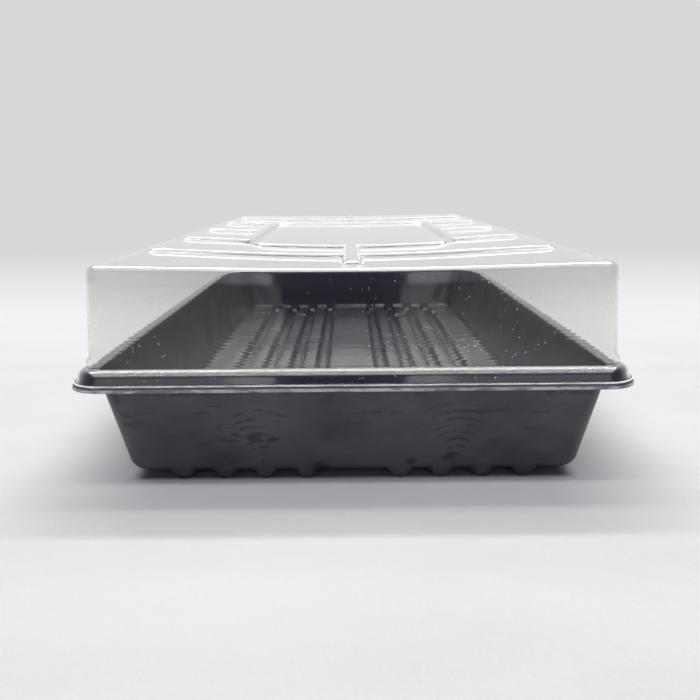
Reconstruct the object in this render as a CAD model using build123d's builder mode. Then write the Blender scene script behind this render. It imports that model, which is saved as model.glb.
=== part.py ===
from build123d import *

import os
from math import cos, radians, tan

os.makedirs("parts", exist_ok=True)

# A seed tray with a clear lift-off humidity dome. Both pieces are vacuum-formed, each from one thin sheet.
# The origin is on the ground under the middle of the tray: X across, Y along its length, Z up. Millimetres.

# ---- Driving dimensions ---------------------------------------------------------------------------------

# Both pieces share one outline, the trimmed edge of the tray. Every other outline is inset from it.
tray_width = 278.0
tray_length = 545.0
outer_corner = 17.0

# Tray
tray_sheet = 0.9
rim_top = 62.0
rim_round = 3.6
skirt_top_inset = 3.7
skirt_foot_inset = 3.1
lip_top = 55.6
lip_bottom = 53.5
lip_round = 1.2
lip_root_round = 1.0
wall_top_inset = 11.6
floor_inset = 20.9
floor_corner = 13.0
floor_underside = 4.4
floor_round = 5.5

# Drain channels pressed down out of the floor. The tray stands on them.
foot_width = 8.0
foot_length = 495.6
foot_round = 2.2
channel_draft = 25.0
channel_pitch = 21.5
first_channel = 24.2
channels_each_side = 4

# Shallow notches through the ribs between the channels, as (rib, distance along the tray) from the middle.
notch_length = 7.0
notch_depth = 2.0
notch_places = [(0, 79.0), (1, 197.0), (2, 115.0), (3, 71.0), (3, 213.0)]

# Dome
dome_sheet = 0.55
clearance = 0.3
dome_lip_inset = 0.8
dome_lip_underside = 56.1
dome_lip_root_round = 0.7
ledge_round = 4.4
wall_inset = 8.6
top_inset = 11.2
top_corner = 6.5
top_height = 112.8
top_round = 3.6

# Lugs at the foot of the dome's corners keep stacked domes from jamming together.
lug_height = 5.0
lug_reach = 7.5
lug_stand_out = 1.3
lug_draft = 5.0

# Raised bands stiffen the top: cross ribs, a ring around the middle panel and a rib from the ring to each end.
band_height = 2.2
band_draft = 25.0
cross_rib_width = 10.0
cross_rib_pitch = 91.0
cross_rib_end = 118.0
ring_band = 11.0
ring_half_width = 77.0
ring_half_length = 123.0
ring_corner_across = 17.0
ring_corner_along = 32.0
end_rib_width = 12.0
end_rib_end = 240.0

# ---- Worked-out places ----------------------------------------------------------------------------------

channel_height = floor_underside + floor_round
channel_centres = [
    (side * (first_channel + channel_pitch * step), 0) for side in (-1, 1) for step in range(channels_each_side)
]
notch_centres = [
    (x_side * (first_channel + channel_pitch * (rib + 0.5)), y_side * place)
    for rib, place in notch_places
    for x_side in (-1, 1)
    for y_side in (-1, 1)
]

ledge_underside = rim_top + clearance
ledge_topside = ledge_underside + dome_sheet
dome_skirt_top_inset = skirt_top_inset - clearance - dome_sheet
dome_skirt_foot_inset = skirt_foot_inset - clearance - dome_sheet
dome_lip_topside = dome_lip_underside + dome_sheet


def outline(inset, corner=None, mode=Mode.ADD):
    """A rounded rectangle inset from the trimmed edge. Its corners are concentric with the edge's unless given."""
    radius = outer_corner - inset if corner is None else corner
    return RectangleRounded(tray_width - 2 * inset, tray_length - 2 * inset, radius, mode=mode)


def edges_at(part, height):
    """The edges of a part that lie level at one height."""
    near = part.edges().filter_by_position(Axis.Z, height - 0.01, height + 0.01)
    return near.filter_by(lambda edge: edge.bounding_box().size.Z < 0.01)


def place(inset, height):
    """A point of the section through the +X side."""
    return (tray_width / 2 - inset, height)


def pan_form(skin):
    """The tray's walls, floor and channels as a solid, shrunk by skin all round."""
    with BuildPart() as form:
        with BuildSketch(Plane.XY.offset(floor_underside + skin)):
            outline(floor_inset + skin, floor_corner)
        with BuildSketch(Plane.XY.offset(rim_top)):
            outline(wall_top_inset + skin)
        loft()
        fillet(edges_at(form, floor_underside + skin), floor_round - skin)

        # Channels run out into the foot of the end walls
        side_skin = skin * (1 / cos(radians(channel_draft)) - tan(radians(channel_draft)))
        with BuildSketch(Plane.XY.offset(skin)):
            with Locations(channel_centres):
                SlotOverall(foot_length - 2 * side_skin, foot_width - 2 * side_skin, rotation=90)
        extrude(amount=channel_height, taper=-channel_draft)
        fillet(edges_at(form, skin), foot_round - skin)

        # Notches
        with BuildSketch(Plane.XY.offset(floor_underside + skin)):
            with Locations(notch_centres):
                Rectangle(channel_pitch, notch_length - 2 * skin)
        extrude(amount=-notch_depth)
    return form.part


def dome_form(skin):
    """The dome's walls, top, lugs and bands as a solid, shrunk by skin all round."""
    with BuildPart() as form:
        with BuildSketch(Plane.XY.offset(ledge_underside)):
            outline(wall_inset + skin)
        with BuildSketch(Plane.XY.offset(top_height - skin)):
            outline(top_inset + skin, top_corner - skin)
        loft()
        fillet(edges_at(form, top_height - skin), top_round - skin)

        # A lug out of each corner
        with BuildSketch(Plane.XY.offset(ledge_underside)):
            outline(wall_inset - lug_stand_out + skin)
            Rectangle(tray_width - 2 * (wall_inset + lug_reach), tray_length, mode=Mode.SUBTRACT)
            Rectangle(tray_width, tray_length - 2 * (wall_inset + lug_reach), mode=Mode.SUBTRACT)
        extrude(amount=lug_height + dome_sheet - skin, taper=lug_draft)

        # Raised bands
        side_skin = skin * (1 / cos(radians(band_draft)) - tan(radians(band_draft)))
        with BuildSketch(Plane.XY.offset(top_height - skin)):
            ring_outline(0)
            with Locations((0, 0)):
                Rectangle(end_rib_width, 2 * end_rib_end)
            with GridLocations(0, cross_rib_pitch, 1, 5):
                Rectangle(2 * cross_rib_end, cross_rib_width)
            ring_outline(ring_band, mode=Mode.SUBTRACT)
        extrude(amount=band_height, taper=band_draft)
    return form.part


def ring_outline(inset, mode=Mode.ADD):
    """The ring band's outline, a rectangle with cut corners, drawn in by inset."""
    across = ring_half_width - inset
    along = ring_half_length - inset
    corner_x = ring_half_width - ring_corner_across - inset / 2
    corner_y = ring_half_length - ring_corner_along - inset / 2
    quarter = [(across, corner_y), (corner_x, along)]
    return Polygon(
        *[(x, y) for x, y in quarter],
        *[(-x, y) for x, y in reversed(quarter)],
        *[(-x, -y) for x, y in quarter],
        *[(x, -y) for x, y in reversed(quarter)],
        mode=mode,
    )


with BuildSketch() as trimmed_edge:
    outline(0)

# ---- Tray -----------------------------------------------------------------------------------------------

pan_outside = pan_form(0)
pan_inside = pan_form(tray_sheet)

with BuildPart() as tray:
    # Rim, skirt and trimmed lip: one section carried round the edge
    with BuildSketch(Plane.XZ):
        with BuildLine():
            FilletPolyline(
                place(wall_top_inset + tray_sheet, rim_top),
                place(skirt_top_inset, rim_top),
                place(skirt_foot_inset, lip_top),
                place(0, lip_top),
                place(0, lip_bottom),
                radius=[rim_round, lip_root_round, lip_round],
            )
            offset(amount=tray_sheet, side=Side.RIGHT)
        make_face()
    sweep(path=trimmed_edge.wire())
    add(pan_outside)
    add(pan_inside, mode=Mode.SUBTRACT)

tray.part.label = "tray"
export_step(tray.part, "parts/tray.step")

# ---- Dome -----------------------------------------------------------------------------------------------

dome_outside = dome_form(0)
dome_inside = dome_form(dome_sheet)

with BuildPart() as dome:
    # Ledge, skirt and trimmed lip: they sit over the tray's rim with a little clearance
    with BuildSketch(Plane.XZ):
        with BuildLine():
            FilletPolyline(
                place(wall_inset + dome_sheet, ledge_topside),
                place(dome_skirt_top_inset, ledge_topside),
                place(dome_skirt_foot_inset, dome_lip_topside),
                place(dome_lip_inset, dome_lip_topside),
                radius=[ledge_round, dome_lip_root_round],
            )
            offset(amount=dome_sheet, side=Side.RIGHT)
        make_face()
    sweep(path=trimmed_edge.wire())
    add(dome_outside)
    add(dome_inside, mode=Mode.SUBTRACT)

dome.part.label = "dome"
export_step(dome.part, "parts/dome.step")
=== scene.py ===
import math

import bmesh
import bpy
from mathutils import Matrix, Vector, noise


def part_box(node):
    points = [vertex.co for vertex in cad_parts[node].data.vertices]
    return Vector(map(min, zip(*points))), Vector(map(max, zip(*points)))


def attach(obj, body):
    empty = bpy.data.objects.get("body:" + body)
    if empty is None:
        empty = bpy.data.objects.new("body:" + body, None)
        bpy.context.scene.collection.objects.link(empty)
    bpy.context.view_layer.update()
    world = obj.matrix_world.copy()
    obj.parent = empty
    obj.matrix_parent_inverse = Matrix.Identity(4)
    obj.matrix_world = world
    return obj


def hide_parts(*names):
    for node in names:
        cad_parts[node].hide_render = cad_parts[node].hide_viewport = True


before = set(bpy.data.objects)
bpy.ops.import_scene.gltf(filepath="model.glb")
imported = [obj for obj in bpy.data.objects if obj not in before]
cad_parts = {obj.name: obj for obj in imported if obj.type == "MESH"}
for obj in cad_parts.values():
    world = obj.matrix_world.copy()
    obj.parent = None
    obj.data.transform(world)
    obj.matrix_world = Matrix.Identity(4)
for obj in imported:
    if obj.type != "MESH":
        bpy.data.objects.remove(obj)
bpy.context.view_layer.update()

MM = 0.001

tray_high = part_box("tray")[1]
dome_low, dome_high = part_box("dome")

# ---- Sizes of the two formed sheets ---------------------------------------------------------------------

# Both sheets are drawn as rings. Each ring is the tray's trimmed outline, inset by so much and at its own
# height.
HALF_WIDTH = tray_high.x
HALF_LENGTH = tray_high.y
OUTER_CORNER = 17 * MM

TRAY_SHEET = 0.9 * MM
RIM_TOP = tray_high.z
RIM_ROUND = 3.6 * MM
OPENING_INSET = 12.5 * MM
OPENING_ROUND = 1.4 * MM
SKIRT_TOP_INSET = 3.7 * MM
SKIRT_FOOT_INSET = 3.1 * MM
LIP_TOP = 55.6 * MM
LIP_BOTTOM = 53.5 * MM
LIP_ROUND = 1.6 * MM
LIP_FLARE = 35
LIP_ROOT_ROUND = 1.0 * MM
FLOOR_INSET = 21.8 * MM
FLOOR_CORNER = 13 * MM
FLOOR_TOP = 5.3 * MM
FLOOR_ROUND = 4.6 * MM

CHANNEL_DEPTH = FLOOR_TOP - TRAY_SHEET
CHANNEL_PITCH = 21.5 * MM
FIRST_CHANNEL = 24.2 * MM
CHANNELS = [side * (FIRST_CHANNEL + CHANNEL_PITCH * step) for side in (-1, 1) for step in range(4)]
CHANNEL_FLAT = 1.8 * MM
CHANNEL_EDGE = 7.0 * MM
FOOT_ROUND = 2.4 * MM
NOTCH_DEPTH = 2 * MM
NOTCH_LENGTH = 7 * MM
NOTCH_SLOPE = 1.2 * MM
NOTCHES = [(0, 79), (1, 197), (2, 115), (3, 71), (3, 213)]

WAVE_HEIGHT = 0.35 * MM
WAVE_FULL = 25 * MM
WAVE_FADE = (38 * MM, 52 * MM)
WAVES_PER_METRE = 9

DOME_SHEET = 0.55 * MM
DOME_LIP_INSET = 0.8 * MM
DOME_LIP_TOP = dome_low.z + DOME_SHEET
DOME_SKIRT_TOP_INSET = 2.85 * MM
DOME_SKIRT_FOOT_INSET = 2.25 * MM
DOME_LIP_ROOT = 0.7 * MM
LEDGE_TOP = 62.85 * MM
LEDGE_ROUND = 4.4 * MM
WALL_FOOT_ROUND = 0.8 * MM
WALL_INSET = 8.6 * MM
TOP_INSET = 11.2 * MM
TOP_CORNER = 6.5 * MM
TOP_ROUND = 3.6 * MM
BAND_HEIGHT = 2.2 * MM
TOP_HEIGHT = dome_high.z - BAND_HEIGHT

LUG_HEIGHT = 5 * MM
LUG_REACH = 7.5 * MM
LUG_STAND_OUT = 1.3 * MM
LUG_SIDE = 0.8 * MM
LUG_SHOULDER = 1.2 * MM
LUG_TAPER = 7 * MM

CROSS_RIB = 5 * MM
CROSS_RIB_PITCH = 91 * MM
CROSS_RIB_END = 118 * MM
END_RIB = 6 * MM
END_RIB_END = 240 * MM
RING_BAND = 11 * MM
RING_HALF_WIDTH = 77 * MM
RING_HALF_LENGTH = 123 * MM
RING_CUT_ACROSS = 17 * MM
RING_CUT_ALONG = 32 * MM
SAG_DEPTH = 5 * MM
SAG_REACH = 30 * MM
SAG_SWING = 370 * MM
BAND_SIDE = 3 * MM
BAND_CORNER = 3 * MM

# Lines in a quarter of a round corner
CORNER_STEPS = 7

# ---- Shapes shared by both sheets -----------------------------------------------------------------------


def ease(value, low, high):
    """0 below low, 1 above high and a smooth rise between them."""
    share = min(max((value - low) / (high - low), 0), 1)
    return share * share * (3 - 2 * share)


def soft_least(first, second, width):
    """The lesser of two distances, with the corner between them rounded off."""
    share = max(width - abs(first - second), 0) / width
    return min(first, second) - share * share * width / 4


def arc(centre_inset, centre_height, radius, start, end, steps):
    """Points of a round in the section, after its first: 0 degrees points outwards and 90 up."""
    angles = [math.radians(start + (end - start) * step / steps) for step in range(1, steps + 1)]
    return [
        (centre_inset - radius * math.cos(angle), centre_height + radius * math.sin(angle))
        for angle in angles
    ]


def straight(start, end, steps):
    """Evenly spaced points of a straight run in the section, after its first and with its last."""
    return [
        (start[0] + (end[0] - start[0]) * step / steps, start[1] + (end[1] - start[1]) * step / steps)
        for step in range(1, steps + 1)
    ]


def ruled_lines(end, marks, fine, coarse, reach):
    """Places from 0 to end: close together within reach of a mark and far apart elsewhere."""
    places = [0.0]
    while places[-1] < end - fine / 2:
        here = places[-1]
        wide = here + coarse
        near = [mark for mark in marks if here < mark + reach and wide > mark - reach]
        if not near:
            places.append(wide)
        elif here < min(near) - reach - fine:
            places.append(min(near) - reach)
        else:
            places.append(here + fine)
    if end - places[-2] < fine:
        places.pop(-2)
    places[-1] = end
    return places


def both_ways(places):
    """Places either side of the middle, in order and without repeats."""
    return sorted({round(side * place, 7) for place in places for side in (-1, 1)})


def corner_lines(end, corner):
    """Places where the sheet's round corners need lines, after the corner's start."""
    return [end - corner * (1 - step / CORNER_STEPS) for step in range(1, CORNER_STEPS + 1)]


def ruled_sheet(columns, rows):
    """A flat sheet of quads with its lines at the given places across and along."""
    bm = bmesh.new()
    bmesh.ops.create_grid(bm, x_segments=len(columns) - 1, y_segments=len(rows) - 1, size=1)
    for vert in bm.verts:
        column = round((vert.co.x + 1) / 2 * (len(columns) - 1))
        row = round((vert.co.y + 1) / 2 * (len(rows) - 1))
        vert.co = Vector((columns[column], rows[row], 0))
    return bm


def round_corners(bm, inset, corner):
    """Turns the square corners of a ruled sheet into round ones."""
    straight_x = HALF_WIDTH - inset - corner
    straight_y = HALF_LENGTH - inset - corner
    for vert in bm.verts:
        across = (abs(vert.co.x) - straight_x) / corner
        along = (abs(vert.co.y) - straight_y) / corner
        if across > 0 and along > 0:
            x = straight_x + corner * across * math.sqrt(1 - along * along / 2)
            y = straight_y + corner * along * math.sqrt(1 - across * across / 2)
            vert.co.x = math.copysign(x, vert.co.x)
            vert.co.y = math.copysign(y, vert.co.y)


def carried(co, ring, corner_of):
    """The point of the next ring that stands over a point of this one."""
    (inset, _), (next_inset, next_height) = ring
    corner = corner_of(inset)
    next_corner = corner_of(next_inset)
    straight_x = HALF_WIDTH - inset - corner
    straight_y = HALF_LENGTH - inset - corner
    next_x = HALF_WIDTH - next_inset - next_corner
    next_y = HALF_LENGTH - next_inset - next_corner
    past_x = abs(co.x) - straight_x
    past_y = abs(co.y) - straight_y
    if past_x > 0 and past_y > 0:
        angle = math.atan2(past_y, past_x)
        x = next_x + next_corner * math.cos(angle)
        y = next_y + next_corner * math.sin(angle)
    elif past_x > past_y:
        x = next_x + next_corner
        y = abs(co.y) * next_y / straight_y
    else:
        x = abs(co.x) * next_x / straight_x
        y = next_y + next_corner
    return Vector((math.copysign(x, co.x), math.copysign(y, co.y), next_height))


def add_rings(bm, rings, corner_of):
    """Extrudes the sheet's border from ring to ring, and returns the rings' vertices."""
    border = [edge for edge in bm.edges if edge.is_boundary]
    loops = []
    for ring in zip(rings, rings[1:]):
        made = bmesh.ops.extrude_edge_only(bm, edges=border)["geom"]
        verts = [item for item in made if isinstance(item, bmesh.types.BMVert)]
        for vert in verts:
            vert.co = carried(vert.co, ring, corner_of)
        new = set(verts)
        border = [
            item
            for item in made
            if isinstance(item, bmesh.types.BMEdge) and item.verts[0] in new and item.verts[1] in new
        ]
        loops.append(verts)
    return loops


def sheet_object(bm, name, thickness, materials, body, node):
    """Finishes a formed sheet as an object that stands for a CAD node."""
    bmesh.ops.recalc_face_normals(bm, faces=bm.faces)
    middle = min(bm.faces, key=lambda face: face.calc_center_median().xy.length)
    if middle.normal.z < 0:
        bmesh.ops.reverse_faces(bm, faces=bm.faces)
    for face in bm.faces:
        face.smooth = True
    mesh = bpy.data.meshes.new(name)
    bm.to_mesh(mesh)
    bm.free()
    for material in materials:
        mesh.materials.append(material)
    piece = bpy.data.objects.new(name, mesh)
    bpy.context.scene.collection.objects.link(piece)
    wall = piece.modifiers.new("sheet", "SOLIDIFY")
    wall.thickness = thickness
    wall.offset = -1
    wall.use_even_offset = True
    wall.material_offset = len(materials) - 1 if len(materials) > 2 else 0
    wall.material_offset_rim = 1
    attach(piece, body)
    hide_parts(node)
    return piece


# ---- Tray -----------------------------------------------------------------------------------------------


def tray_corner(inset):
    """Corner radius of the tray's ring at an inset: it opens out from the rim down to the floor."""
    if inset <= OPENING_INSET:
        return OUTER_CORNER - inset
    if inset <= FLOOR_INSET:
        share = (inset - OPENING_INSET) / (FLOOR_INSET - OPENING_INSET)
        rim_corner = OUTER_CORNER - OPENING_INSET
        return rim_corner + (FLOOR_CORNER - rim_corner) * share
    return FLOOR_CORNER - (inset - FLOOR_INSET)


WALL_LEAN = math.atan((FLOOR_INSET - OPENING_INSET) / (RIM_TOP - FLOOR_TOP))


def tray_section():
    """The tray's section from the edge of the flat floor out to the trimmed edge, as insets and heights."""
    lean = math.degrees(WALL_LEAN)
    draw_in = (1 - math.sin(WALL_LEAN)) / math.cos(WALL_LEAN)
    flat_edge = (FLOOR_INSET + FLOOR_ROUND * draw_in, FLOOR_TOP)
    section = [flat_edge]
    section += arc(flat_edge[0], FLOOR_TOP + FLOOR_ROUND, FLOOR_ROUND, -90, -lean, 12)
    opening = (OPENING_INSET - OPENING_ROUND * draw_in, RIM_TOP - OPENING_ROUND)
    wall_top = arc(*opening, OPENING_ROUND, 180 - lean, 180 - lean, 1)
    section += straight(section[-1], wall_top[0], 8)
    section += arc(*opening, OPENING_ROUND, 180 - lean, 90, 4)
    section += straight(section[-1], (SKIRT_TOP_INSET + RIM_ROUND, RIM_TOP), 2)
    section += arc(*section[-1][:1], RIM_TOP - RIM_ROUND, RIM_ROUND, 90, 5, 6)
    section += [(SKIRT_FOOT_INSET, LIP_TOP + LIP_ROOT_ROUND)]
    section += arc(SKIRT_FOOT_INSET - LIP_ROOT_ROUND, section[-1][1], LIP_ROOT_ROUND, 180, 270, 4)
    section += [(LIP_ROUND, LIP_TOP)]
    section += arc(LIP_ROUND, LIP_TOP - LIP_ROUND, LIP_ROUND, 90, LIP_FLARE, 4)
    section += [(0, LIP_BOTTOM)]
    return section


def channel_share(x):
    """How far down a channel the sheet is at a place across the tray, from 0 to 1."""
    off_centre = min(abs(x - channel) for channel in CHANNELS)
    return 1 - ease(off_centre, CHANNEL_FLAT, CHANNEL_EDGE)


def notch_share(x, y):
    """How far down a notch the sheet is, from 0 to 1."""
    deepest = 0
    for rib, place in NOTCHES:
        off_x = abs(abs(x) - (FIRST_CHANNEL + CHANNEL_PITCH * (rib + 0.5)))
        off_y = abs(abs(y) - place * MM)
        across = 1 - ease(off_x, (CHANNEL_PITCH - NOTCH_SLOPE) / 2, (CHANNEL_PITCH + NOTCH_SLOPE) / 2)
        along = 1 - ease(off_y, (NOTCH_LENGTH - NOTCH_SLOPE) / 2, (NOTCH_LENGTH + NOTCH_SLOPE) / 2)
        deepest = max(deepest, across * along)
    return deepest


def foot_reach(angle):
    """How far a channel's end stands out of the wall's foot, at an angle up from straight down."""
    to_ground = (FLOOR_ROUND + CHANNEL_DEPTH) / math.cos(angle)
    to_wall = FLOOR_ROUND / math.cos(math.pi / 2 - WALL_LEAN - angle)
    return soft_least(to_ground, to_wall, FOOT_ROUND) - FLOOR_ROUND


def make_tray(materials):
    section = tray_section()
    flat_inset = section[0][0]
    corner = tray_corner(flat_inset)
    across = HALF_WIDTH - flat_inset
    along = HALF_LENGTH - flat_inset
    steps = [0, CHANNEL_FLAT, *[part * MM for part in (2.6, 3.3, 4.0, 4.7, 5.4, 6.2)], CHANNEL_EDGE]
    columns = [channel + side * step for channel in CHANNELS for step in steps for side in (-1, 1)]
    columns += [0, 9 * MM, across - 1.5 * corner, across - corner, *corner_lines(across, corner)]
    marks = [(place * MM + side * NOTCH_LENGTH / 2) for _, place in NOTCHES for side in (-1, 1)]
    rows = ruled_lines(along - corner, marks, 0.6 * MM, 7 * MM, 0.9 * MM) + corner_lines(along, corner)
    bm = ruled_sheet(both_ways(columns), both_ways(rows))
    for vert in bm.verts:
        x, y, _ = vert.co
        vert.co.z = FLOOR_TOP - max(CHANNEL_DEPTH * channel_share(x), NOTCH_DEPTH * notch_share(x, y))
    round_corners(bm, flat_inset, tray_corner(flat_inset))
    loops = add_rings(bm, section, tray_corner)

    # The last of the lip takes the same pale finish as its cut edge
    last = set(loops[-1])
    for face in bm.faces:
        if not last.isdisjoint(face.verts):
            face.material_index = 1

    # The ends of the channels run out into the foot of the end walls
    centre_y = HALF_LENGTH - flat_inset
    centre_z = FLOOR_TOP + FLOOR_ROUND
    for loop in loops[:12]:
        for vert in loop:
            if abs(vert.co.y) > centre_y:
                outwards = Vector((0, abs(vert.co.y) - centre_y, vert.co.z - centre_z)).normalized()
                reach = max(foot_reach(math.atan2(outwards.y, -outwards.z)), 0) * channel_share(vert.co.x)
                vert.co.y += math.copysign(outwards.y * reach, vert.co.y)
                vert.co.z += outwards.z * reach

    # Thin formed walls are never quite flat
    for vert in bm.verts:
        x, y, z = vert.co
        free = ease(z, FLOOR_TOP, WAVE_FULL) * (1 - ease(z, *WAVE_FADE))
        wave = noise.noise(vert.co * WAVES_PER_METRE) * WAVE_HEIGHT * free
        if HALF_WIDTH - abs(x) < HALF_LENGTH - abs(y):
            vert.co.x += math.copysign(1, x) * wave
        else:
            vert.co.y += math.copysign(1, y) * wave
    return sheet_object(bm, "tray_shell", TRAY_SHEET, materials, "tray", "tray")


# ---- Dome -----------------------------------------------------------------------------------------------


def dome_corner(inset):
    """Corner radius of the dome's ring at an inset."""
    if inset <= WALL_INSET:
        return OUTER_CORNER - inset
    if inset <= TOP_INSET:
        share = (inset - WALL_INSET) / (TOP_INSET - WALL_INSET)
        foot_corner = OUTER_CORNER - WALL_INSET
        return foot_corner + (TOP_CORNER - foot_corner) * share
    return TOP_CORNER - (inset - TOP_INSET)


DOME_LEAN = math.atan((TOP_INSET - WALL_INSET) / (TOP_HEIGHT - LEDGE_TOP))


def dome_section():
    """The dome's section from the edge of its top out to the trimmed edge, as insets and heights."""
    lean = math.degrees(DOME_LEAN)
    draw_in = (1 - math.sin(DOME_LEAN)) / math.cos(DOME_LEAN)
    top_edge = (TOP_INSET + TOP_ROUND * draw_in, TOP_HEIGHT)
    section = [top_edge]
    section += arc(top_edge[0], TOP_HEIGHT - TOP_ROUND, TOP_ROUND, 90, lean, 6)
    foot = (WALL_INSET - WALL_FOOT_ROUND * draw_in, LEDGE_TOP + WALL_FOOT_ROUND)
    foot_start = arc(*foot, WALL_FOOT_ROUND, 180 + lean, 180 + lean, 1)
    lug_top = LEDGE_TOP + LUG_HEIGHT
    lug_inset = WALL_INSET + (lug_top - LEDGE_TOP) * math.tan(DOME_LEAN)
    section += straight(section[-1], (lug_inset, lug_top), 6)
    section += straight(section[-1], foot_start[0], 6)
    section += arc(*foot, WALL_FOOT_ROUND, 180 + lean, 270, 3)
    section += straight(section[-1], (DOME_SKIRT_TOP_INSET + LEDGE_ROUND, LEDGE_TOP), 2)
    section += arc(*section[-1][:1], LEDGE_TOP - LEDGE_ROUND, LEDGE_ROUND, 90, 6, 5)
    section += [(DOME_SKIRT_FOOT_INSET, DOME_LIP_TOP + DOME_LIP_ROOT)]
    section += arc(DOME_SKIRT_FOOT_INSET - DOME_LIP_ROOT, section[-1][1], DOME_LIP_ROOT, 180, 270, 3)
    section += [(DOME_LIP_INSET, DOME_LIP_TOP)]
    return section


def ring_depth(x, y, inset):
    """How far inside the ring's outline, inset by so much, a place is."""
    cut = Vector((RING_CUT_ALONG, RING_CUT_ACROSS)).normalized()
    corner = Vector((RING_HALF_WIDTH, RING_HALF_LENGTH - RING_CUT_ALONG))
    to_cut = (corner - Vector((abs(x), abs(y)))).dot(cut)
    return min(RING_HALF_WIDTH - abs(x), RING_HALF_LENGTH - abs(y), to_cut) - inset


def bar_depth(x, y, half_x, half_y):
    """How far inside a bar in the middle of the top a place is."""
    return soft_least(half_x - abs(x), half_y - abs(y), BAND_CORNER)


def band_share(x, y):
    """How far up a raised band the sheet is, from 0 to 1."""
    row = max(-2, min(2, round(y / CROSS_RIB_PITCH)))
    deepest = max(
        ring_depth(x, y, 0),
        bar_depth(x, y, END_RIB, END_RIB_END),
        bar_depth(x, y - row * CROSS_RIB_PITCH, CROSS_RIB_END, CROSS_RIB),
    )
    deepest = min(deepest, -ring_depth(x, y, RING_BAND))
    return ease(deepest, 0, BAND_SIDE)


def sag(x, y):
    """How far the thin top hangs between its side walls: most near the front end, least at the back."""
    across = max(1 - (x / (HALF_WIDTH - TOP_INSET)) ** 2, 0) ** 1.7
    end = 1 - 0.65 * (y / (HALF_LENGTH - TOP_INSET)) ** 4
    drift = 0.75 - 0.25 * math.sin(math.pi * y / SAG_SWING)
    return SAG_DEPTH * across * max(end, 0) * drift


def make_dome(materials):
    section = dome_section()
    top_inset = section[0][0]
    across = HALF_WIDTH - top_inset
    along = HALF_LENGTH - top_inset
    inner = RING_HALF_WIDTH - RING_BAND
    cut_middle = RING_HALF_WIDTH - RING_CUT_ACROSS
    column_marks = [END_RIB, inner, RING_HALF_WIDTH, CROSS_RIB_END, cut_middle, cut_middle - RING_BAND]
    corner = dome_corner(top_inset)
    columns = ruled_lines(across - corner, column_marks, 0.9 * MM, 6 * MM, 3 * MM)
    columns += corner_lines(across, corner)
    row_marks = [CROSS_RIB_PITCH * row + side * CROSS_RIB for row in (0, 1, 2) for side in (-1, 1)]
    row_marks += [RING_HALF_LENGTH, RING_HALF_LENGTH - RING_BAND, END_RIB_END]
    rows = ruled_lines(along - corner, row_marks, 0.9 * MM, 6 * MM, 3 * MM) + corner_lines(along, corner)
    bm = ruled_sheet(both_ways(columns), both_ways(rows))
    for vert in bm.verts:
        vert.co.z = TOP_HEIGHT + BAND_HEIGHT * band_share(vert.co.x, vert.co.y)
    round_corners(bm, top_inset, dome_corner(top_inset))
    add_rings(bm, section, dome_corner)

    for vert in bm.verts:
        x, y, z = vert.co
        vert.co.z -= sag(x, y) * ease(z, TOP_HEIGHT - SAG_REACH, TOP_HEIGHT)

        # Corner lugs
        corner_x = HALF_WIDTH - WALL_INSET - LUG_REACH - abs(x)
        corner_y = HALF_LENGTH - WALL_INSET - LUG_REACH - abs(y)
        near = 1 - ease(max(corner_x, corner_y), -LUG_SIDE, LUG_SIDE)
        low = 1 - ease(z, LEDGE_TOP + LUG_HEIGHT - LUG_SHOULDER, LEDGE_TOP + LUG_HEIGHT)
        if z > LEDGE_TOP + WALL_FOOT_ROUND / 2 and near * low > 0:
            stand_out = LUG_STAND_OUT * near * low
            vert.co.x += math.copysign(stand_out, x) * ease(-corner_x, 0, LUG_TAPER)
            vert.co.y += math.copysign(stand_out, y) * ease(-corner_y, 0, LUG_TAPER)
    return sheet_object(bm, "dome_shell", DOME_SHEET, materials, "dome", "dome")


# ---- Shader building blocks -----------------------------------------------------------------------------


def node(tree, kind, inputs=(), **settings):
    """A shader node with its settings, each input given a value or joined to a socket."""
    made = tree.nodes.new("ShaderNode" + kind)
    for name, value in settings.items():
        setattr(made, name, value)
    for name, value in dict(inputs).items():
        set_input(tree, made.inputs[name], value)
    return made


def set_input(tree, socket, value):
    """Joins an input to a socket, or gives it a value."""
    if isinstance(value, bpy.types.NodeSocket):
        tree.links.new(value, socket)
    else:
        socket.default_value = value


def sums(tree, operation, first, second=0.0, third=0.0):
    """The result of one sum on numbers or sockets."""
    return node(tree, "Math", {0: first, 1: second, 2: third}, operation=operation).outputs["Value"]


def product(tree, first, *others):
    """Numbers or sockets multiplied together."""
    for other in others:
        first = sums(tree, "MULTIPLY", first, other)
    return first


def largest(tree, first, *others):
    """The largest of some numbers or sockets."""
    for other in others:
        first = sums(tree, "MAXIMUM", first, other)
    return first


def remainder(tree, share):
    """What is left of 1 when a share is taken away."""
    return sums(tree, "SUBTRACT", 1.0, share)


def spread(tree, value, low, high, to_low=0.0, to_high=1.0):
    """A value's range from low to high laid smoothly from to_low to to_high, and held outside it."""
    inputs = {"Value": value, "From Min": low, "From Max": high, "To Min": to_low, "To Max": to_high}
    return node(tree, "MapRange", inputs, interpolation_type="SMOOTHSTEP").outputs["Result"]


def below(tree, value, full, none):
    """1 where a value is under full, fading out to 0 at none."""
    return spread(tree, value, full, none, 1.0, 0.0)


def blend(tree, share, first, second):
    """A colour part of the way from the first to the second."""
    inputs = {"Factor": share, "A": first, "B": second}
    mix = node(tree, "Mix", data_type="RGBA")
    for socket in mix.inputs:
        if socket.name in inputs and (socket.type == "RGBA" or socket.identifier == "Factor_Float"):
            set_input(tree, socket, inputs[socket.name])
    return next(socket for socket in mix.outputs if socket.type == "RGBA")


def mixed(tree, share, first, second):
    """A shader part of the way from the first to the second."""
    return node(tree, "MixShader", {0: share, 1: first, 2: second}).outputs["Shader"]


def axes(tree, place):
    """The separate coordinates of a place."""
    return node(tree, "SeparateXYZ", {"Vector": place}).outputs


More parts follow.
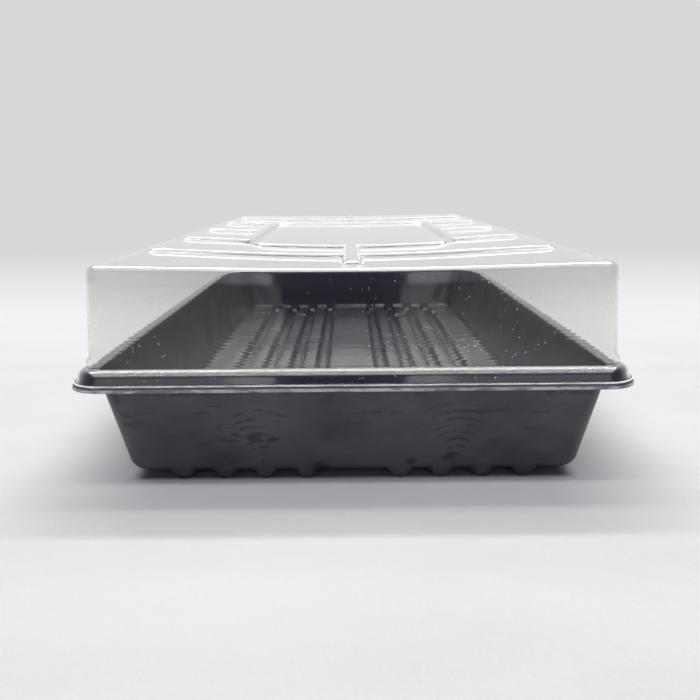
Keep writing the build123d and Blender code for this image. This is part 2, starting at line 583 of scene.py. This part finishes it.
def stretched(tree, place, stretch, offset=(0, 0, 0)):
    """A place moved and stretched along its axes."""
    moved = node(tree, "VectorMath", {0: place, 1: offset}, operation="ADD").outputs["Vector"]
    return node(tree, "VectorMath", {0: moved, 1: stretch}, operation="MULTIPLY").outputs["Vector"]


def clouds(tree, place, scale, detail=4.0, roughness=0.5):
    """Soft random patches from 0 to 1, scale of them to the metre."""
    inputs = {"Vector": place, "Scale": scale, "Detail": detail, "Roughness": roughness}
    return node(tree, "TexNoise", inputs).outputs["Fac"]


def specks(tree, place, scale, size, share):
    """Scattered round specks: 1 on a speck and 0 off it."""
    cells = node(tree, "TexVoronoi", {"Vector": place, "Scale": scale})
    chosen = axes(tree, cells.outputs["Color"])
    radius = spread(tree, chosen["Y"], 0.0, 1.0, size * 0.5, size)
    on_speck = sums(tree, "LESS_THAN", cells.outputs["Distance"], radius)
    return product(tree, on_speck, sums(tree, "LESS_THAN", chosen["X"], share))


def bumped(tree, height, distance, normal=None):
    """The surface's direction over a relief that is distance high, laid on another if one is given."""
    inputs = {"Height": height, "Strength": 1.0, "Distance": distance}
    if normal is not None:
        inputs["Normal"] = normal
    return node(tree, "Bump", inputs).outputs["Normal"]


def new_material(name):
    """An empty node material, its tree, its surface input and the places on the object."""
    material = bpy.data.materials.new(name)
    material.use_nodes = True
    tree = material.node_tree
    tree.nodes.clear()
    output = tree.nodes.new("ShaderNodeOutputMaterial")
    return material, tree, output.inputs["Surface"], node(tree, "TexCoord").outputs["Object"]


def plastic(tree, inputs):
    """A Principled shader with the given inputs."""
    return node(tree, "BsdfPrincipled", inputs).outputs["BSDF"]


# ---- Finishes -------------------------------------------------------------------------------------------

# Colours of the black sheet, from clean to scuffed
INSIDE_BLACK = (0.0065, 0.0068, 0.0125, 1)
WATER_MARK = (0.0105, 0.0105, 0.016, 1)
WIPED_BLACK = (0.008, 0.008, 0.011, 1)
FILM_GREY = (0.066, 0.066, 0.081, 1)
TRIMMED_BLACK = (0.14, 0.14, 0.16, 1)
TRIMMED_SCUFF = (0.45, 0.45, 0.49, 1)
COOL_SHINE = (0.82, 0.86, 1.0, 1)

# Colours of the clear sheet
CLEAR = (0.955, 0.953, 0.94, 1)
CLEAR_THROUGH = (0.95, 0.95, 0.94, 1)
CLEAR_VEIL = (0.84, 0.84, 0.86, 1)
TRIMMED_CLEAR = (0.45, 0.45, 0.46, 1)
TRIMMED_FROST = (0.9, 0.9, 0.9, 1)

# Colours of dust, palest where it lies on the clear sheet
DUST_INSIDE = (0.5, 0.5, 0.5, 1)
DUST_OUTSIDE = (0.4, 0.4, 0.4, 1)
DUST_ON_CLEAR = (0.8, 0.8, 0.8, 1)

# Wiping marks on the tray's ends: where each fan of arcs starts and how far it reaches
LEFT_FAN = ((-0.048, 0.010), 0.036)
RIGHT_FAN = ((0.052, 0.008), 0.038)
ARCS_PER_METRE = 1500 / (2 * math.pi)
FAN_SLOPE = 0.55

# Smears along the outside wall: height, thickness and a shift that sets their patches apart
SMEARS = [(50.5 * MM, 1.7 * MM, 0.0), (40 * MM, 1.1 * MM, 3.0)]

# Lines drawn into the clear sheet's walls as it was formed
DRAWN_PITCH = 1.6111 * MM
DRAWN_DRIFT = 2 * MM
DRAWN_FULL = 72 * MM
DRAWN_FAINT = 88 * MM


def tray_inside_finish():
    """The side that lay away from the mould: glossy black, with ripples, dried water marks and dust."""
    material, tree, surface, place = new_material("black_styrene_inside")
    cells = node(tree, "TexVoronoi", {"Vector": place, "Scale": 26, "Randomness": 0.9})
    wobble = product(tree, clouds(tree, place, 120, 3), 0.12)
    dried = below(tree, sums(tree, "ADD", cells.outputs["Distance"], wobble), 0.40, 0.43)

    # The floor is worn duller than the walls
    worn = spread(tree, axes(tree, place)["Z"], 0.006, 0.013, 0.14, 0.0)
    rough = spread(tree, clouds(tree, place, 45, 6), 0.35, 0.7, 0.28, 0.34)
    rough = sums(tree, "ADD", rough, product(tree, dried, 0.05))
    rough = sums(tree, "ADD", rough, worn)

    ripple = clouds(tree, stretched(tree, place, (0.12, 1, 0.3)), 110, 2)
    colour = blend(tree, dried, INSIDE_BLACK, WATER_MARK)
    colour = blend(tree, specks(tree, place, 330, 0.13, 0.08), colour, DUST_INSIDE)
    inputs = {
        "Base Color": colour,
        "Roughness": rough,
        "Normal": bumped(tree, ripple, 0.02 * MM),
        "IOR": 1.45,
        "Coat Weight": 0.7,
        "Coat Roughness": 0.08,
        "Coat IOR": 1.4,
        "Specular Tint": COOL_SHINE,
    }
    tree.links.new(plastic(tree, inputs), surface)
    return material


def wiping_arcs(tree, place, centre, reach):
    """A fan of thin broken arcs, left where a wet cloth went round."""
    near = stretched(tree, place, (1, 0, 1), (-centre[0], 0, -centre[1]))
    wobble = node(tree, "TexNoise", {"Vector": place, "Scale": 35}).outputs["Color"]
    wobble = stretched(tree, wobble, (8 * MM, 0, 8 * MM), (-0.5, 0, -0.5))
    near = node(tree, "VectorMath", {0: near, 1: wobble}, operation="ADD").outputs["Vector"]
    away = node(tree, "VectorMath", {0: near}, operation="LENGTH").outputs["Value"]
    turns = product(tree, away, 2 * math.pi * ARCS_PER_METRE)
    rings = spread(tree, sums(tree, "SINE", turns), 0.2, 0.95)
    broken = spread(tree, clouds(tree, place, 150, 4, 0.7), 0.42, 0.54)
    side = sums(tree, "ABSOLUTE", axes(tree, near)["X"])
    fan = sums(tree, "MULTIPLY_ADD", axes(tree, near)["Z"], -FAN_SLOPE, side)
    patch = product(tree, below(tree, away, reach * 0.8, reach), below(tree, fan, -3 * MM, 3 * MM))
    return product(tree, rings, broken, patch)


def wall_smear(tree, place, level, thickness, shift):
    """A broken smear along the outside wall at one level."""
    along = stretched(tree, place, (1, 1, 0))
    unsteady = sums(tree, "MULTIPLY_ADD", clouds(tree, along, 60, 4), 4 * MM, axes(tree, place)["Z"])
    off = sums(tree, "ABSOLUTE", sums(tree, "SUBTRACT", unsteady, level))
    patches = clouds(tree, stretched(tree, place, (1, 1, 0), (shift, 0, 0)), 24, 2)
    return product(
        tree,
        below(tree, off, thickness * 0.4, thickness),
        spread(tree, patches, 0.49, 0.55),
        spread(tree, clouds(tree, place, 220, 4, 0.7), 0.4, 0.52),
    )


def drips_and_strokes(tree, place):
    """Round drips in some places and short level strokes in others."""
    cells = node(tree, "TexVoronoi", {"Vector": stretched(tree, place, (1, 1, 1.3)), "Scale": 55})
    drips = below(tree, cells.outputs["Distance"], 0.3, 0.36)
    drips = product(tree, drips, spread(tree, clouds(tree, place, 28, 2), 0.56, 0.6))
    strokes = spread(tree, clouds(tree, stretched(tree, place, (0.12, 0.12, 1)), 420, 3, 0.6), 0.6, 0.68)
    strokes = product(tree, strokes, spread(tree, clouds(tree, place, 40, 3), 0.5, 0.58))
    return largest(tree, drips, strokes)


def tray_outside_finish():
    """The side that lay on the mould: satin black under a faint film with wiping marks and drips in it."""
    material, tree, surface, place = new_material("black_styrene_outside")
    fans = [wiping_arcs(tree, place, *fan) for fan in (LEFT_FAN, RIGHT_FAN)]
    smears = [wall_smear(tree, place, *smear) for smear in SMEARS]
    marks = largest(tree, *fans, drips_and_strokes(tree, place), *smears)
    marks = product(tree, marks, below(tree, axes(tree, place)["Z"], 49 * MM, 53 * MM))

    # The marks take off most of the film
    film = spread(tree, clouds(tree, stretched(tree, place, (1, 1, 1.6)), 16, 5, 0.6), 0.3, 0.68)
    film = product(tree, film, remainder(tree, product(tree, marks, 0.75)))
    film = sums(tree, "MULTIPLY_ADD", film, 0.7, 0.3)
    film = product(tree, film, remainder(tree, product(tree, marks, 0.5)))

    dimples = bumped(tree, clouds(tree, place, 45, 3), 0.4 * MM)
    colour = blend(tree, film, WIPED_BLACK, FILM_GREY)
    inputs = {
        "Base Color": blend(tree, specks(tree, place, 260, 0.06, 0.05), colour, DUST_OUTSIDE),
        "Roughness": spread(tree, film, 0, 1, 0.34, 0.5),
        "Normal": bumped(tree, clouds(tree, place, 1500, 2), 0.02 * MM, dimples),
        "IOR": 1.5,
    }
    tree.links.new(plastic(tree, inputs), surface)
    return material


def trimmed_black_finish():
    """The raw edge left by the trimming knife: paler and scuffed."""
    material, tree, surface, place = new_material("black_styrene_trimmed")
    scuff = spread(tree, clouds(tree, stretched(tree, place, (0.3, 0.3, 1)), 300, 4), 0.4, 0.62)
    inputs = {"Base Color": blend(tree, scuff, TRIMMED_BLACK, TRIMMED_SCUFF), "Roughness": 0.4}
    tree.links.new(plastic(tree, inputs), surface)
    return material


def drawn_sheet(tree, place, outer):
    """Clear sheet with level lines drawn into the outer side of its walls, strongest low down."""
    height = axes(tree, place)["Z"]
    drawn = product(tree, outer, spread(tree, height, DRAWN_FULL, DRAWN_FAINT, 1.0, 0.15))
    uneven = product(tree, clouds(tree, stretched(tree, place, (0.012, 0.012, 1)), 850, 1), drawn)
    drift = clouds(tree, stretched(tree, place, (1, 1, 0.5)), 40, 2)
    level = sums(tree, "MULTIPLY_ADD", drift, DRAWN_DRIFT, height)
    steps = sums(tree, "SINE", product(tree, level, 2 * math.pi / DRAWN_PITCH))
    steps = product(tree, steps, drawn)
    ripple = product(tree, clouds(tree, stretched(tree, place, (0.3, 0.3, 1)), 50, 2), outer)
    normal = bumped(tree, uneven, 0.04 * MM, bumped(tree, ripple, 0.02 * MM))
    inputs = {
        "Base Color": CLEAR,
        "Roughness": 0.0,
        "Normal": bumped(tree, steps, 0.0085 * MM, normal),
        "Transmission Weight": 1.0,
        "IOR": 1.34,
    }
    return plastic(tree, inputs)


def sheet_haze(tree, place, outer, facing_up):
    """How much of the clear top is veiled: scuffed from stacking, and hazier seen edgeways."""
    edgeways = spread(tree, node(tree, "LayerWeight", {"Blend": 0.5}).outputs["Facing"], 0.74, 0.95, 0.0, 0.5)
    scuffs = clouds(tree, stretched(tree, place, (1, 0.3, 1)), 200, 4, 0.6)
    scuffs = spread(tree, scuffs, 0.4, 0.65, 0.06, 0.16)
    scuffs = product(tree, scuffs, spread(tree, axes(tree, place)["Z"], 0.100, 0.110))
    return product(tree, largest(tree, scuffs, edgeways), outer, spread(tree, facing_up, 0.2, 0.6))


def clear_sheet_finish():
    """Clear sheet with fine lines drawn across it, a little haze, and dust."""
    material, tree, surface, place = new_material("clear_sheet")
    geometry = node(tree, "NewGeometry").outputs
    outer = remainder(tree, geometry["Backfacing"])
    facing_up = axes(tree, geometry["True Normal"])["Z"]
    veil = node(tree, "BsdfDiffuse", {"Color": CLEAR_VEIL}).outputs["BSDF"]
    dust = node(tree, "BsdfDiffuse", {"Color": DUST_ON_CLEAR}).outputs["BSDF"]
    through = node(tree, "BsdfTransparent", {"Color": CLEAR_THROUGH}).outputs["BSDF"]

    hazy = mixed(tree, sheet_haze(tree, place, outer, facing_up), drawn_sheet(tree, place, outer), veil)
    clustered = spread(tree, clouds(tree, place, 22, 3), 0.44, 0.56)
    speck = product(tree, specks(tree, place, 650, 0.19, 0.22), clustered, outer)
    dusty = mixed(tree, speck, hazy, dust)

    # Lamps shine straight in, and light that has met the tray inside goes straight out again
    ray = node(tree, "LightPath").outputs
    onward = largest(tree, ray["Is Glossy Ray"], ray["Is Diffuse Ray"])
    onward = product(tree, onward, sums(tree, "GREATER_THAN", ray["Ray Depth"], 2.5))
    passing = largest(tree, ray["Is Shadow Ray"], onward)
    tree.links.new(mixed(tree, passing, dusty, through), surface)
    return material


def trimmed_clear_finish():
    """The cut edge of the clear sheet, frosted and bright."""
    material, tree, surface, place = new_material("clear_sheet_trimmed")
    nicks = spread(tree, clouds(tree, stretched(tree, place, (0.4, 0.4, 1)), 260, 4), 0.35, 0.6)
    inputs = {"Base Color": blend(tree, nicks, TRIMMED_CLEAR, TRIMMED_FROST), "Roughness": 0.3, "IOR": 1.5}
    tree.links.new(plastic(tree, inputs), surface)
    return material


# ---- Studio ---------------------------------------------------------------------------------------------

# Behind and above
BACKDROP = (0.69, 0.683, 0.693, 1)
# Painted light: how pale the floor glows close behind the tray
PAINTED_GLOW_NEAR = (0.93, 0.93, 0.945, 1)
OVERHEAD = (0.14, 0.14, 0.15, 1)

# The room in front: dark in the middle, with daylight beside it. Its sides and top are shares of a direction.
ROOM = (0.23, 0.23, 0.30, 1)
ROOM_MIDDLE = (0.07, 0.07, 0.13, 1)
ROOM_WINDOW = (0.9, 0.9, 1.0, 1)
WINDOW_EDGE = (2.0, 2.0, 2.15, 1)
MIDDLE_SHIFT = 0.013
MIDDLE_SIDE = (0.082, 0.09)
WINDOW_SIDE = (0.088, 0.098)
WINDOW_FAR_SIDE = (0.5, 0.6)
WINDOW_TOP = (0.45, 0.6)
BRIGHT_EDGE = (0.14, 0.17)

# The floor
CLOTH_HOLLOW = (0.93, 0.912, 0.905, 1)
CLOTH_FOLD = (0.96, 0.945, 0.94, 1)
# Painted shade on the floor close under the tray
PAINTED_SHADE_UNDER_TRAY = (0.15, 0.145, 0.145, 1)
# Painted shade on the floor in front of the tray, out of the camera's sight
PAINTED_SHADE_IN_FRONT = (0.06, 0.06, 0.09, 1)
FLOOR_RADIUS = 60
DARK_BEFORE = -0.75
SHADE_ALONG = (0.247, 0.253)
SHADE_ACROSS = (0.108, 0.119)
CLOTH_FADES = (-0.14, 0.45)
BACKDROP_FADES = (-0.1, 1.1)


def floor_shade(tree, colour, across, along):
    """The cloth's colour, with painted shade: dark out of sight in front of the tray and shaded close under
    it.
    """
    # Painted shade: a dark patch of floor in front, hidden from the camera, stands in for the shaded room
    # that the glossy walls show
    off_middle = sums(tree, "MULTIPLY_ADD", along, -MIDDLE_SHIFT, across)
    off_middle = sums(tree, "ABSOLUTE", sums(tree, "DIVIDE", off_middle, along))
    painted_front_shade = product(tree, below(tree, off_middle, *MIDDLE_SIDE), sums(tree, "LESS_THAN", along, DARK_BEFORE))
    painted_front_shade = product(tree, painted_front_shade, remainder(tree, node(tree, "LightPath").outputs["Is Camera Ray"]))
    colour = blend(tree, painted_front_shade, colour, PAINTED_SHADE_IN_FRONT)
    # Painted shade close under the tray, where little light reaches
    under = below(tree, sums(tree, "ABSOLUTE", along), *SHADE_ALONG)
    under = product(tree, under, below(tree, sums(tree, "ABSOLUTE", across), *SHADE_ACROSS))
    return blend(tree, under, colour, PAINTED_SHADE_UNDER_TRAY)


def floor_finish():
    """A pale cloth-like sweep that fades behind into a glowing backdrop, with painted light: the glow is
    palest close behind the tray.
    """
    material, tree, surface, place = new_material("studio_floor")
    weave = clouds(tree, stretched(tree, place, (1, 0.45, 1)), 420, 3, 0.7)
    folds = clouds(tree, stretched(tree, place, (1, 2.2, 1)), 7, 4)
    apart = axes(tree, place)
    colour = blend(tree, spread(tree, folds, 0.3, 0.7), CLOTH_HOLLOW, CLOTH_FOLD)
    cloth_inputs = {
        "Color": floor_shade(tree, colour, apart["X"], apart["Y"]),
        "Roughness": 0.6,
        "Normal": bumped(tree, weave, 0.4 * MM, bumped(tree, folds, 2.5 * MM)),
    }
    cloth = node(tree, "BsdfDiffuse", cloth_inputs).outputs["BSDF"]
    # Painted light: the floor glows instead of being lit, palest close behind the tray and dimming to the
    # backdrop's colour further back
    fading = blend(tree, spread(tree, apart["Y"], *BACKDROP_FADES), PAINTED_GLOW_NEAR, BACKDROP)
    backdrop = node(tree, "Emission", {"Color": fading, "Strength": 1.0}).outputs["Emission"]
    tree.links.new(mixed(tree, spread(tree, apart["Y"], *CLOTH_FADES), cloth, backdrop), surface)
    return material


def make_floor():
    """A round of floor wide enough to reach the horizon."""
    bm = bmesh.new()
    bmesh.ops.create_circle(bm, cap_ends=True, segments=96, radius=FLOOR_RADIUS)
    mesh = bpy.data.meshes.new("studio_floor")
    bm.to_mesh(mesh)
    bm.free()
    mesh.materials.append(floor_finish())
    floor = bpy.data.objects.new("studio_floor", mesh)
    bpy.context.scene.collection.objects.link(floor)


def make_light(name, place, aim, size, power):
    """A rectangular soft light aimed at a point."""
    lamp = bpy.data.lights.new(name, "AREA")
    lamp.shape = "RECTANGLE"
    lamp.size, lamp.size_y = size
    lamp.energy = power
    light = bpy.data.objects.new(name, lamp)
    light.location = place
    light.rotation_mode = "QUATERNION"
    light.rotation_quaternion = (Vector(aim) - Vector(place)).to_track_quat("-Z", "Y")
    light.visible_camera = False
    bpy.context.scene.collection.objects.link(light)
    return light


def make_lights():
    """Three long tubes over the tray, and a pale ceiling behind that only shines back off glossy surfaces."""
    aim = (0, -0.1, 0)
    make_light("key_tube", (0, 1.53, 2.45), aim, (4.0, 0.2), 58)
    make_light("middle_tube", (0, 0.45, 2.9), aim, (4.0, 0.25), 16)
    make_light("front_tube", (0, -1.1, 2.8), aim, (4.0, 0.25), 21)
    ceiling = make_light("ceiling", (0, 2, 3), (0, 2, 0), (5, 9), 300)
    ceiling.visible_diffuse = False


def make_world():
    """A room round the sweep: its own pale wall behind, a dimmer room in front with daylight in it."""
    world = bpy.data.worlds.new("studio")
    world.use_nodes = True
    tree = world.node_tree
    direction = axes(tree, node(tree, "TexCoord").outputs["Generated"])
    sideways, along, up = (direction[axis] for axis in "XYZ")
    in_front = below(tree, along, -0.35, 0.35)
    colour = blend(tree, in_front, BACKDROP, ROOM)
    colour = blend(tree, spread(tree, up, 0.3, 0.8), colour, OVERHEAD)

    off_middle = sums(tree, "ABSOLUTE", sums(tree, "ADD", sideways, MIDDLE_SHIFT))
    low_in_front = product(tree, sums(tree, "LESS_THAN", along, -0.5), below(tree, up, *WINDOW_TOP))
    window = product(tree, spread(tree, off_middle, *WINDOW_SIDE), below(tree, off_middle, *WINDOW_FAR_SIDE))
    window = product(tree, window, low_in_front, spread(tree, up, 0.0, 0.06, 0.3, 1.0))
    colour = blend(tree, window, colour, ROOM_WINDOW)
    edge = product(tree, window, below(tree, off_middle, *BRIGHT_EDGE))
    colour = blend(tree, edge, colour, WINDOW_EDGE)
    middle = product(tree, below(tree, off_middle, *MIDDLE_SIDE), low_in_front)
    colour = blend(tree, middle, colour, ROOM_MIDDLE)
    set_input(tree, tree.nodes["Background"].inputs["Color"], colour)
    bpy.context.scene.world = world


def make_camera():
    """The camera stands low in front of the tray's end and looks a little down."""
    data = bpy.data.cameras.new("camera")
    data.lens = 36.8
    data.sensor_width = 36
    data.clip_start = 0.01
    data.clip_end = 200
    camera = bpy.data.objects.new("camera", data)
    place = Matrix.Translation((-0.0014, -0.5994, 0.1506))
    tilt = Matrix.Rotation(math.radians(90 - 13.2), 4, "X")
    roll = Matrix.Rotation(math.radians(-0.5), 4, "Z")
    camera.matrix_world = place @ tilt @ roll
    bpy.context.scene.collection.objects.link(camera)
    bpy.context.scene.camera = camera


# ---- The scene ------------------------------------------------------------------------------------------

bpy.context.scene.view_settings.view_transform = "Standard"
bpy.context.scene.cycles.transparent_max_bounces = 32
make_camera()
make_world()
make_floor()
make_lights()
make_tray([tray_inside_finish(), trimmed_black_finish(), tray_outside_finish()])
make_dome([clear_sheet_finish(), trimmed_clear_finish()])
